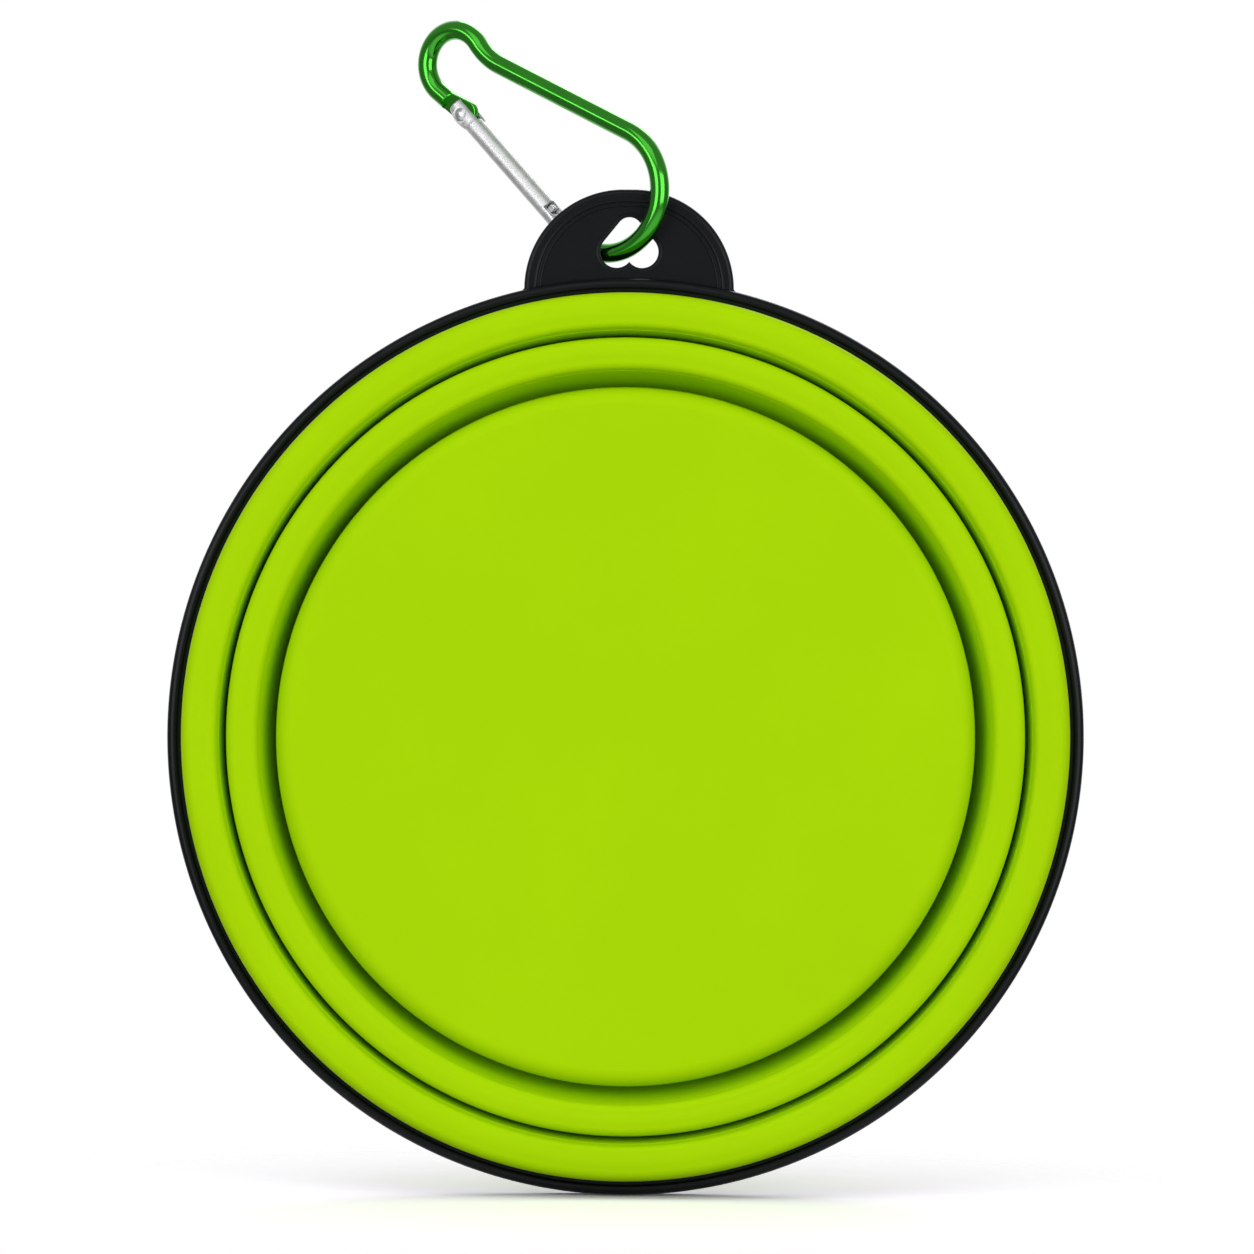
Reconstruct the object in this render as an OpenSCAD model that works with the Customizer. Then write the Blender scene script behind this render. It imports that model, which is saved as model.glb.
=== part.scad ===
// Collapsible pet bowl: a rigid rim with a hanging tab, a silicone body of three nesting tiers
// joined by two folding webs, and a wire clip with a sprung gate through the tab's heart-shaped hole.
// The bowl is folded flat and stands on its rim. Its axis is Y, the base's outer face lies at y = 0,
// the mouth faces +Y and the tab points up. Sizes are in millimetres and degrees.

/* [Rim] */
// Outer diameter of the rim
rim_d = 180; // [140:1:240]
// Depth of the rim along the bowl's axis
rim_h = 8; // [7.5:0.5:12]
// Thickness of the rim's outer wall
rim_wall = 2.8; // [2.4:0.1:5]
// Reach of the mouth flange, from the rim's outer edge inwards
flange_w = 7.6; // [5:0.1:8.5]
// Thickness of the mouth flange
flange_t = 1.8; // [1.2:0.1:2.4]
// Rounding of the rim's outer edges
rim_round = 1.2; // [0.4:0.1:1.3]
// Width of the step beside the silicone
rim_step_w = 0.9; // [0.4:0.1:1]
// Depth of that step
rim_step = 0.5; // [0.2:0.1:0.8]

/* [Tab] */
// Radius of the tab's round outline
tab_r = 20.5; // [18:0.1:28]
// Reach of the tab beyond the rim
tab_reach = 17.6; // [16:0.1:24]
// Thickness of the recessed plate
tab_t = 1.6; // [1.2:0.1:1.8]
// Width of the raised border
border_w = 2.5; // [1.6:0.1:3]
// Height of the border above the plate, on each face
border_rise = 0.6; // [0.4:0.1:0.9]
// Rounding of the border's edges
border_round = 0.9; // [0.3:0.05:0.95]
// Width of the low step inside the border
step_w = 0.8; // [0.4:0.1:1.5]
// Height of the low step above the plate, on each face
step_rise = 0.25; // [0.1:0.05:0.4]
// Radius of the fillets where the tab meets the rim
foot_fillet = 1.3; // [0.6:0.1:4]
// Depth of the plate below the mouth, to its middle
tab_drop = 4.4; // [3.6:0.1:5]
// Web left between the rim and the heart-shaped hole
hole_web = 2.1; // [1.5:0.1:3]
// Room between the slanted wire and the ends of the hole
hole_room = 1.3; // [1.1:0.1:2.5]
// Width of the shallow recess round the hole
recess_w = 0.85; // [0.5:0.05:1.2]
// Depth of that recess, on each face
recess_t = 0.35; // [0.1:0.05:0.5]

/* [Silicone body] */
// Depth of the folded bowl, from the base's face to the mouth
folded_h = 18; // [16:0.5:26]
// Wall of the three tiers
wall_t = 2.4; // [1.8:0.1:3]
// Wall of the folding webs
fold_t = 1.2; // [0.8:0.1:1.3]
// Thickness of the base
base_t = 2.5; // [1.8:0.1:4]
// Width of the upper tier's tread
upper_tread_w = 6.6; // [5:0.1:12]
// Rounding of the upper tread's inner edge
upper_roll = 1; // [0.5:0.1:1.8]
// Width of the groove between the upper and the middle tier, at the tread
upper_gap = 2.3; // [1.4:0.1:4]
// Width of the middle tier's tread
middle_tread_w = 5.8; // [5:0.1:12]
// Rounding of the middle tread's inner edge
middle_roll = 1.6; // [0.5:0.1:1.8]
// Width of the groove between the middle and the base tier, at the tread
lower_gap = 4; // [1.4:0.1:5]
// Setback of each tread behind the next one inwards; without one the folded bowl lies on all three
tread_step = 0; // [0:0.1:2]
// Drop of the middle tier's wall below the mouth
top_drop = 4.2; // [3.6:0.1:5]
// Drop of the base tier's wall below the middle tier's
top_step = 1; // [0:0.1:2]
// Rounding of the base's edge
base_round = 3.2; // [0.6:0.1:3.4]
// Rounding of the middle tread's outer edge
middle_round = 1.8; // [0.4:0.1:2.4]
// Rounding of the upper tread's outer edge
upper_round = 2.4; // [0.4:0.1:2.4]
// Fillet inside the tiers
inner_fillet = 1.2; // [0.4:0.1:2]
// Radius of the bead that snaps into the rim
snap_r = 0.9; // [0.6:0.05:1.1]

/* [Clip] */
// Diameter of the clip's wire
wire_d = 3.8; // [3.4:0.1:4.2]
// Radius of the wide bend, to the wire's middle
wide_r = 12.5; // [11.5:0.1:15]
// Radius of the narrow bend, to the wire's middle
narrow_r = 6.7; // [6:0.1:8]
// Distance between the centres of the two bends
bend_gap = 44.6; // [40:0.1:55]
// Radius of the reverse bend at the neck
neck_r = 13.5; // [10:0.1:18]
// Slope of the straight back against the clip's long axis
spine_slope = 11; // [9:0.5:13]
// Slope of the gate against the clip's long axis
gate_slope = 9; // [7:0.5:10]
// Turn of the clip about the vertical, out of the tab's plane
clip_turn = 35; // [35:1:90]
// Lean of the clip's long axis below the horizontal
clip_lean = 34; // [30:1:45]
// Place on the wide bend that passes through the hole, below its widest point
pass_angle = 64.7; // [60:0.1:72]
// Height at which the wire passes the hole, above the middles of its lobes
pass_rise = 0.85; // [0.7:0.05:1]
// Shift of the clip in front of the tab's middle plane
clip_shift = 0.6; // [0.5:0.05:0.7]

/* [Gate] */
// Diameter of the gate's rod
gate_d = 3.8; // [3.4:0.1:4]
// Diameter of the gate's barrel at the pivot
barrel_d = 4.6; // [4.2:0.1:4.8]
// Length of the barrel beyond the pivot
barrel_len = 4.2; // [3.8:0.1:7]
// Width across the barrel's two flats
barrel_flat = 3.5; // [3.2:0.1:3.7]
// Overhang of the barrel behind the pivot
barrel_back = 2.8; // [1.8:0.1:3]
// Distance of the pivot from the narrow bend's centre, along the gate
pivot_ahead = 8.7; // [8.4:0.1:10]
// Offset of the pivot outwards from the rod's axis
pivot_out = 0.1; // [0:0.1:0.4]
// Diameter of the pivot rivet
rivet_d = 1.3; // [1.1:0.1:1.5]
// Diameter of the rivet's heads
rivet_head_d = 2.7; // [2:0.1:2.8]
// Height of the rivet's heads
rivet_head_h = 0.5; // [0.3:0.05:0.7]
// Thickness of the clip's flattened tongues
tongue_t = 1.3; // [1:0.1:1.4]
// Radius of the tongue's eye, which is also the gate's cam
eye_r = 2.3; // [2.1:0.1:2.5]
// Offset of the eye inwards from the pivot
cam_throw = 0.7; // [0.5:0.1:0.8]
// Length of the straight nose
nose_len = 3.6; // [2.5:0.1:5]
// Length of the nose's tongue
hook_len = 4.2; // [3.6:0.1:5]
// Width of the nose's tongue
hook_w = 3; // [2.4:0.1:3.2]
// Distance of the latch pin in front of the nose
latch_ahead = 2.2; // [1.8:0.1:2.6]
// Diameter of the latch pin
latch_d = 1.2; // [0.9:0.1:1.4]
// Diameter of the bore for the gate's spring
bore_d = 1.7; // [1.5:0.1:1.9]
// Length of the plunger
plunger_len = 4; // [2.5:0.1:5]
// Length of the spring
spring_len = 8.8; // [6:0.1:12]
// Diameter of the spring's wire
spring_wire = 0.28; // [0.2:0.02:0.32]
// Number of curls in the spring
spring_turns = 11; // [6:1:12]

/* [Clearances] */
// Gap round pieces that stay pressed together
seat_gap = 0.05; // [0.02:0.01:0.1]
// Radial gap of the rivet in the tongue's eye
running_gap = 0.05; // [0.02:0.01:0.08]
// Gap beside pieces that swing past each other
side_gap = 0.1; // [0.08:0.01:0.2]
// Gap left at the ends of pieces that swing past each other
end_gap = 0.5; // [0.4:0.05:0.8]
// Gap between a folded web and the wall that slides past it
fold_gap = 0.35; // [0.3:0.05:0.6]

/* [Hidden] */
$fn = 96;

rim_colour = "#15191b";
silicone_colour = "#a9d60c";
clip_colour = "#14801a";
gate_colour = "#d4d6d8";
steel_colour = "#a8abae";

// Length by which a cut passes the face that it opens
past = 1;

// Radii of the rim and the tiers, worked inwards from the rim
rim_r = rim_d / 2;
upper_r = rim_r - rim_wall;
upper_in = upper_r - upper_tread_w;
middle_r = upper_in - upper_gap;
middle_in = middle_r - middle_tread_w;
base_r = middle_in - lower_gap;

// Places along the bowl's axis
middle_y = tread_step;
upper_y = 2 * tread_step;
rim_y = folded_h - rim_h;
flange_y = folded_h - flange_t;
middle_top = folded_h - top_drop;
base_top = middle_top - top_step;
snap_y = (rim_y + flange_y) / 2;
upper_slope = web_slope(upper_in, upper_y, middle_r, middle_top);
middle_slope = web_slope(middle_in, middle_y, base_r, base_top);
// Rounding of a folded web's head, as a share of its thickness
head_share = 0.9;

// The tab, and the heart-shaped hole that the slanted wire needs; its lobes' radius and its height are shares
// of half its width
tab_y = folded_h - tab_drop;
tab_z = rim_r + tab_reach - tab_r;
wire_slant = asin(sin(clip_turn) * sin(pass_angle));
hole_edge = tab_t / 2 - recess_t;
hole_half_w = wire_d / 2 / sin(wire_slant) + hole_edge / tan(wire_slant) + hole_room;
lobe_share = 0.56;
heart_share = 1.74;
lobe_r = lobe_share * hole_half_w;
lobe_x = hole_half_w - lobe_r;
heart_tip_r = lobe_x;
lobe_z = rim_r + hole_web + lobe_r;
tip_z = rim_r + hole_web + heart_share * hole_half_w - heart_tip_r;

// Depth by which the tab's fillets cut into the rim and into the tab's outline
fillet_bite = 0.1;

// The clip's plane has its origin at the wide bend's centre and x along the clip's long axis
wire_r = wire_d / 2;
// The straight runs are this much finer than the bends, and let in this far, so that the pieces join cleanly
wire_ease = 0.03;
wire_lap = 0.4;
wide_c = [-wide_r * cos(pass_angle), lobe_z + pass_rise + wide_r * sin(pass_angle)];
narrow_c = [-bend_gap, 0];
spine_dir = [-cos(spine_slope), -sin(spine_slope)];
spine_out = [-sin(spine_slope), cos(spine_slope)];
neck_off = wide_r + neck_r;
neck_run = narrow_c * spine_dir - sqrt(pow(narrow_r + neck_r, 2) - pow(neck_off - narrow_c * spine_out, 2));
neck_c = neck_off * spine_out + neck_run * spine_dir;
neck_angle = atan2(neck_c[1] - narrow_c[1], neck_c[0] - narrow_c[0]);
neck_lap = wire_lap / neck_r * 180 / PI;
tongue_angle = -70;
// Breadth of the flattened tongue at each end, and its depth in the wire, as shares of the radii there
tongue_share = 0.8;
tongue_bite = 0.5;
tongue_root = narrow_c + narrow_r * [cos(tongue_angle), sin(tongue_angle)];

// The gate's axis is tangent to the wide bend, and its own frame starts at the pivot
gate_dir = [cos(gate_slope), -sin(gate_slope)];
gate_in = [sin(gate_slope), cos(gate_slope)];
nose_root = -wide_r * gate_in;
gate_run = (nose_root - narrow_c) * gate_dir - pivot_ahead;
pivot = nose_root - gate_run * gate_dir - pivot_out * gate_in;
nose_x = gate_run - nose_len;
latch_x = nose_x - latch_ahead;
gate_tip = nose_x - end_gap;
latch_slot_x = nose_x - hook_len - end_gap;
cam_x = eye_r + running_gap;
pivot_slot_x = eye_r + cam_throw + 2 * side_gap;
spring_x = cam_x + plunger_len;
bore_end = spring_x + spring_len;
slot_t = tongue_t + 2 * side_gap;

// The spring's tube: one helix of rings round the rod's axis
ring_sides = 6;
rings_per_turn = 8;
spring_r = bore_d / 2 - side_gap - spring_wire / 2;
spring_rings = spring_turns * rings_per_turn;
spring_pitch = (spring_len - spring_wire) / spring_turns;

function helix_point(i) =
    let (a = 360 * i / rings_per_turn)
    [spring_wire / 2 + spring_pitch * i / rings_per_turn, spring_r * cos(a), spring_r * sin(a)];

function helix_ring(i) =
    let (a = 360 * i / rings_per_turn, c = helix_point(i))
    [for (k = [0:ring_sides - 1])
        let (b = 360 * k / ring_sides, out = spring_wire / 2 * cos(b))
        c + [spring_wire / 2 * sin(b), out * cos(a), out * sin(a)]];

spring_gap = min([for (i = [0:spring_rings - rings_per_turn])
    norm(helix_point(i + rings_per_turn) - helix_point(i))]) - spring_wire;
echo(spring_gap = spring_gap);

// Turns a profile of [radius, place along the bowl's axis] round the bowl's axis
module revolve() {
    rotate([-90, 0, 0])
        rotate_extrude()
            children();
}

// Raises a figure drawn in x and z from one place along the bowl's axis to another
module slab(from_y, to_y) {
    translate([0, to_y, 0])
        rotate([90, 0, 0])
            linear_extrude(to_y - from_y)
                children();
}

// The bit to cut off a profile's corner to round it; dir points from the corner into the profile
module corner_cut(corner, r, dir) {
    centre = corner + r * dir;
    difference() {
        translate([min(corner[0], centre[0]), min(corner[1], centre[1])])
            square(r);
        translate(centre)
            circle(r);
    }
}

// The bit to add in a profile's inner corner as a fillet; dir points from the corner into the open
module corner_fill(corner, r, dir) {
    corner_cut(corner, r, dir);
}

// The bit to cut off a corner between any two sides, drawn a little past them; a and b point from the corner
// along its sides
module slant_cut(corner, r, a, b) {
    side_a = a / norm(a);
    side_b = b / norm(b);
    half = acos(side_a * side_b) / 2;
    centre = corner + (side_a + side_b) / norm(side_a + side_b) * r / sin(half);
    reach = 1 + past / 5;
    translate(centre)
        difference() {
            polygon([[0, 0], reach * (corner + side_a * r / tan(half) - centre), reach * (corner - centre),
                reach * (corner + side_b * r / tan(half) - centre)]);
            circle(r);
        }
}

// The heart-shaped hole, tip up, grown by a margin
module heart(grow = 0) {
    axis = [lobe_x, lobe_z - tip_z];
    span = norm(axis);
    lean = atan2(axis[1], axis[0]) + acos((heart_tip_r - lobe_r) / span);
    out = [cos(lean), sin(lean)];
    tip = [0, tip_z];
    lobe = [lobe_x, lobe_z];
    translate(tip)
        circle(heart_tip_r + grow);
    for (side = [0, 1])
        mirror([side, 0]) {
            translate(lobe)
                circle(lobe_r + grow);
            polygon([tip - [past, 0], tip + (heart_tip_r + grow) * out, lobe + (lobe_r + grow) * out,
                lobe, [-past / 2, lobe_z]]);
        }
}

// The tab's outline with its fillets onto the rim
module tab_outline() {
    far_rim = rim_r - fillet_bite + foot_fillet;
    far_tab = tab_r - fillet_bite + foot_fillet;
    fillet_z = (tab_z * tab_z + far_rim * far_rim - far_tab * far_tab) / (2 * tab_z);
    fillet = [sqrt(far_rim * far_rim - fillet_z * fillet_z), fillet_z];
    tab_c = [0, tab_z];
    translate(tab_c)
        circle(tab_r);
    for (side = [0, 1])
        mirror([side, 0])
            difference() {
                polygon([tab_c, fillet, fillet * (rim_r - rim_wall / 2) / far_rim]);
                translate(fillet)
                    circle(foot_fillet);
            }
}

// The tab's raised border, seen along its ring
module border_profile() {
    half_t = tab_t / 2 + border_rise;
    inner = tab_r - border_w;
    difference() {
        translate([inner, -half_t])
            square([border_w, 2 * half_t]);
        for (side = [-1, 1]) {
            corner_cut([tab_r, side * half_t], border_round, [-1, -side]);
            corner_cut([inner, side * half_t], border_round, [1, -side]);
        }
    }
}

// What lies outside the middle of the rim's wall
module outside_rim() {
    difference() {
        children();
        circle(rim_r - rim_wall / 2);
    }
}

module rim_ring() {
    color(rim_colour) {
        revolve()
            difference() {
                union() {
                    translate([upper_r, rim_y])
                        square([rim_wall, rim_h]);
                    translate([rim_r - flange_w, flange_y])
                        square([flange_w, flange_t]);
                }
                corner_cut([rim_r, rim_y], rim_round, [-1, 1]);
                corner_cut([rim_r, folded_h], rim_round, [-1, -1]);
                corner_cut([rim_r - flange_w, folded_h], flange_t / 2, [1, -1]);
                translate([upper_r, rim_y])
                    square([rim_step_w, rim_step]);
                translate([upper_r, snap_y])
                    circle(snap_r + seat_gap);
            }
        difference() {
            union() {
                slab(tab_y - tab_t / 2, tab_y + tab_t / 2)
                    outside_rim()
                        tab_outline();
                difference() {
                    translate([0, tab_y, tab_z])
                        revolve()
                            border_profile();
                    translate([0, folded_h, 0])
                        rotate([90, 0, 0])
                            cylinder(r = rim_r - rim_wall / 2, h = rim_h);
                }
                slab(tab_y - tab_t / 2 - step_rise, tab_y + tab_t / 2 + step_rise)
                    outside_rim()
                        difference() {
                            translate([0, tab_z])
                                circle(tab_r - border_w / 2);
                            translate([0, tab_z])
                                circle(tab_r - border_w - step_w);
                        }
            }
            slab(tab_y - tab_t, tab_y + tab_t)
                heart();
            for (side = [-1, 1])
                slab(tab_y + side * tab_t / 2 - recess_t, tab_y + side * tab_t / 2 + recess_t)
                    heart(recess_w);
        }
    }
}

// How far a folded web comes inwards for each millimetre along the bowl's axis
function web_slope(inner, foot, next_outer, next_top) = (inner - next_outer - fold_gap) / (next_top - foot);

// A tier's wall with the tread at its foot, whose inner edge turns into the slant of the folded web
module tier_profile(outer, inner, foot, top, edge_round, roll, slope) {
    inner_foot = [inner, foot];
    wall_foot = [outer - wall_t, foot + wall_t];
    web_side = [-slope, 1];
    difference() {
        union() {
            polygon([[outer, foot], [outer, top], [outer - wall_t, top], wall_foot,
                inner_foot + wall_t * web_side, inner_foot]);
            corner_fill(wall_foot, inner_fillet, [-1, 1]);
        }
        corner_cut([outer, foot], edge_round, [-1, 1]);
        slant_cut(inner_foot, roll, [1, 0], web_side);
    }
}

// A folded web: slanted up from a tread's inner edge, then turned inwards over the top of the next tier's wall
module fold_profile(inner, foot, next_outer, next_top, slope) {
    start = foot + wall_t;
    root = inner - slope * wall_t;
    head = next_outer + fold_gap;
    end = next_top + fold_t;
    difference() {
        union() {
            polygon([[root, start], [root + fold_t, start], [head + fold_t, next_top],
                [head + fold_t, next_top + fold_t / 2], [head, next_top + fold_t / 2], [head, next_top]]);
            translate([next_outer - wall_t, next_top])
                square([head + fold_t - next_outer + wall_t, fold_t]);
        }
        corner_cut([head + fold_t, end], head_share * fold_t, [-1, -1]);
    }
}

module upper_tier() {
    color(silicone_colour)
        revolve() {
            tier_profile(upper_r - seat_gap, upper_in, upper_y, flange_y, upper_round, upper_roll, upper_slope);
            translate([upper_r - seat_gap, snap_y])
                circle(snap_r);
        }
}

module upper_fold() {
    color(silicone_colour)
        revolve()
            fold_profile(upper_in, upper_y, middle_r, middle_top, upper_slope);
}

module middle_tier() {
    color(silicone_colour)
        revolve()
            tier_profile(middle_r, middle_in, middle_y, middle_top, middle_round, middle_roll, middle_slope);
}

module lower_fold() {
    color(silicone_colour)
        revolve()
            fold_profile(middle_in, middle_y, base_r, base_top, middle_slope);
}

module base_tier() {
    color(silicone_colour)
        revolve()
            difference() {
                union() {
                    translate([base_r - wall_t, 0])
                        square([wall_t, base_top]);
                    square([base_r, base_t]);
                    corner_fill([base_r - wall_t, base_t], inner_fillet, [-1, 1]);
                }
                corner_cut([base_r, 0], base_round, [-1, 1]);
            }
}

// Carries what is drawn in the clip's plane to its place in the tab's hole
module in_clip() {
    translate([0, tab_y - clip_shift, 0])
        rotate([0, 0, -clip_turn])
            rotate([90, 0, 0])
                translate([wide_c[0], wide_c[1], 0])
                    rotate([0, 0, -clip_lean])
                        children();
}

// Carries what is drawn along the gate, from its pivot, into the clip's plane
module on_gate() {
    in_clip()
        translate([pivot[0], pivot[1], 0])
            rotate([0, 0, -gate_slope])
                children();
}

// Wire bent round a centre, between two angles
module wire_bend(centre, bend_r, from, to, r) {
    translate([centre[0], centre[1], 0])
        rotate([0, 0, from])
            rotate_extrude(angle = to - from)
                translate([bend_r, 0])
                    circle(r, $fn = 32);
}

// Straight wire from one point along a direction, let a little way into the bend before it and after it
module wire_run(start, angle, length, lap_after) {
    translate([start[0], start[1], 0])
        rotate([0, 0, angle])
            rotate([0, 90, 0])
                translate([0, 0, -wire_lap])
                    cylinder(r = wire_r - wire_ease, h = wire_lap + length + lap_after, $fn = 32);
}

// Cylinder along the gate, from one place to another on the rod's axis
module on_rod(d, from, to) {
    translate([from, pivot_out, 0])
        rotate([0, 90, 0])
            cylinder(d = d, h = to - from, $fn = 32);
}

// A block across the whole gate between two places along it
module gate_block(from, to, thick) {
    translate([from, -barrel_d, -thick / 2])
        cube([to - from, 2 * barrel_d, thick]);
}

module clip_frame() {
    root_in = tongue_root - tongue_bite * wire_r * [-sin(tongue_angle), cos(tongue_angle)];
    eye = pivot + cam_throw * gate_in;
    reach = eye - root_in;
    across = tongue_share * [-reach[1], reach[0]] / norm(reach);
    color(clip_colour) {
        in_clip() {
            wire_bend([0, 0], wide_r, -90 - gate_slope, 90 + spine_slope, wire_r);
            wire_run(wide_r * spine_out, 180 + spine_slope, neck_run, wire_lap);
            wire_bend(neck_c, neck_r, neck_angle - 180 - neck_lap, spine_slope - 90, wire_r);
            wire_bend(narrow_c, narrow_r, neck_angle, 360 + tongue_angle, wire_r + wire_ease);
            wire_run(nose_root, 180 - gate_slope, nose_len, 0);
            translate([0, 0, -tongue_t / 2])
                linear_extrude(tongue_t)
                    difference() {
                        union() {
                            translate(eye)
                                circle(eye_r, $fn = 48);
                            polygon([root_in - wire_r * across, eye - eye_r * across, eye + eye_r * across,
                                root_in + wire_r * across]);
                        }
                        translate(pivot)
                            circle(rivet_d / 2 + running_gap, $fn = 32);
                    }
        }
        on_gate()
            translate([0, pivot_out, -tongue_t / 2])
                linear_extrude(tongue_t)
                    difference() {
                        translate([nose_x - hook_len, -hook_w / 2])
                            square([hook_len + past / 2, hook_w]);
                        translate([latch_x, 0])
                            circle(latch_d / 2 + side_gap, $fn = 32);
                        translate([latch_x - latch_d / 2 - side_gap, 0])
                            square([latch_d + 2 * side_gap, hook_w]);
                    }
    }
}

module gate() {
    color(gate_colour)
        on_gate()
            difference() {
                union() {
                    intersection() {
                        on_rod(barrel_d, -barrel_back, barrel_len);
                        gate_block(-barrel_back - past, barrel_len + past, barrel_flat);
                    }
                    on_rod(gate_d, barrel_len - past, gate_tip);
                }
                gate_block(-barrel_back - past, pivot_slot_x, slot_t);
                gate_block(latch_slot_x, gate_tip + past, slot_t);
                on_rod(bore_d, pivot_slot_x - past, bore_end);
                cylinder(d = rivet_d + 2 * seat_gap, h = 2 * barrel_d, center = true, $fn = 32);
                translate([latch_x, pivot_out, 0])
                    cylinder(d = latch_d + 2 * seat_gap, h = 2 * barrel_d, center = true, $fn = 32);
            }
}

module pivot_rivet() {
    dome_r = (pow(rivet_head_d / 2, 2) + pow(rivet_head_h, 2)) / (2 * rivet_head_h);
    color(steel_colour)
        on_gate() {
            cylinder(d = rivet_d, h = barrel_flat, center = true, $fn = 32);
            for (side = [0, 1])
                mirror([0, 0, side])
                    translate([0, 0, barrel_flat / 2])
                        rotate_extrude($fn = 48)
                            intersection() {
                                translate([0, rivet_head_h - dome_r])
                                    circle(dome_r);
                                square([rivet_head_d / 2, rivet_head_h]);
                            }
        }
}

module latch_pin() {
    color(steel_colour)
        on_gate()
            translate([latch_x, pivot_out, 0])
                cylinder(d = latch_d, h = gate_d - 2 * side_gap, center = true, $fn = 32);
}

module gate_spring() {
    last = spring_rings * ring_sides;
    sides = [for (i = [0:spring_rings - 1], k = [0:ring_sides - 1])
        let (a = i * ring_sides + k, b = i * ring_sides + (k + 1) % ring_sides)
        each [[a, a + ring_sides, b], [b, a + ring_sides, b + ring_sides]]];
    caps = [for (k = [1:ring_sides - 2]) each [[0, k, k + 1], [last, last + k + 1, last + k]]];
    color(steel_colour)
        on_gate()
            translate([spring_x, pivot_out, 0])
                polyhedron([for (i = [0:spring_rings]) each helix_ring(i)], concat(sides, caps));
}

module gate_plunger() {
    color(steel_colour)
        on_gate()
            on_rod(bore_d - 2 * side_gap, cam_x, spring_x);
}

rim_ring();
upper_tier();
upper_fold();
middle_tier();
lower_fold();
base_tier();
clip_frame();
gate();
pivot_rivet();
latch_pin();
gate_spring();
gate_plunger();
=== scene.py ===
import math

import bmesh
import bpy
import numpy as np
from mathutils import Matrix, Vector


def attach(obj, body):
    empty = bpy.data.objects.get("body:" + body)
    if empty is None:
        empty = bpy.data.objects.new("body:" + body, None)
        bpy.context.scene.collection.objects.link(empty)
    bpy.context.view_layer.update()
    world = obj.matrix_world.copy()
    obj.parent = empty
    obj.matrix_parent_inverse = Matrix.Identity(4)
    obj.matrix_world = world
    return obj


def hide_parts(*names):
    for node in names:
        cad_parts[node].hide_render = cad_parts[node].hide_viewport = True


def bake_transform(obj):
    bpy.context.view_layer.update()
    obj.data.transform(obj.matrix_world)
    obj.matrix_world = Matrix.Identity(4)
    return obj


bl_info = {
    "name": "Collapsible Pet Bowl",
    "version": (1, 0, 0),
    "blender": (4, 5, 0),
    "location": "View3D > Sidebar > Pet Bowl",
    "description": "Surfaces, finishes and stage of a folding silicone bowl with a rim, a tab and a clip",
    "category": "Object",
}

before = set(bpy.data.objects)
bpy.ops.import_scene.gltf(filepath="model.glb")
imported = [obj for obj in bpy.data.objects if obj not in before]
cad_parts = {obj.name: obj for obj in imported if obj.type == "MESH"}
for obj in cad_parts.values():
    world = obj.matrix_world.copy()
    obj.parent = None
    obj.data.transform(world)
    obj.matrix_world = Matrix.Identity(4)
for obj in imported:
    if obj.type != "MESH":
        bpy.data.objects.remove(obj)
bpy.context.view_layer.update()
MM = 0.001
TURN = 2 * math.pi
WHITE = (1.0, 1.0, 1.0, 1.0)

# Points closer than this, in metres, are merged, and edges sharper than this, in degrees, stay sharp
MERGE, SMOOTH_ANGLE = 2e-7, 38.0
# The part of a noise texture's range that is put to use
NOISE_RANGE = 0.3, 0.7

# Radii and thicknesses of the rim and the silicone, and places along the bowl's axis, all in millimetres
RIM_R = 90.0
FLANGE_IN = 82.4
UPPER_OUT, UPPER_IN = 87.15, 80.6
MIDDLE_OUT, MIDDLE_IN = 78.3, 72.5
BASE_OUT, BASE_EDGE = 68.5, 3.2
WALL, WEB, WEB_GAP = 2.4, 1.2, 0.2
BASE_T = 2.5
INNER_FILLET = 1.2
MOUTH_Y, RIM_Y, FLANGE_Y = 18.0, 10.0, 16.2
MIDDLE_TOP, BASE_TOP = 13.8, 12.8

# The rim's wall round the silicone and the step beside its bead
SEAT_R, STEP_R, STEP_Y = 87.2, 88.1, 10.5

# A tread's outer and inner edge, each with its place, its rounding and its distance from the crown, then the rise
UPPER_TREAD = (0.45, 2.2, 2.5), (0.3, 1.4, 1.6), 0.12
MIDDLE_TREAD = (0.35, 1.7, 1.9), (0.2, 1.6, 1.8), 0.1

# The folded webs: how sharply they curve in from the treads, how far their ends run into the tiers and lie below
# the tiers' faces, and the rounding of their inner edge
UPPER_CURVE, MIDDLE_CURVE = 3.0, 1.1
WEB_BITE, WEB_INSET, WEB_EDGE = 0.3, 0.06, 0.6

# The tab: the two circles that its outline runs round, the heart-shaped hole and the circle at which it ends
# inside the rim's wall
TAB_C, TAB_R, TAB_Y = np.array((1.0, 87.9)), 19.6, 13.6
HEART_C = np.array((0.0, 97.0))
LOBE, LOBE_R = np.array((2.511, 95.295)), 3.195
TIP, TIP_R = np.array((0.0, 99.518)), 2.511
TAB_CUT_R = 88.9

# Half thicknesses of the tab: its face, the step inside its border, the groove round its hole and its outer edge
TAB_FACE, TAB_STEP, TAB_GROOVE, TAB_EDGE = 0.8, 1.05, 0.45, 0.2
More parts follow.
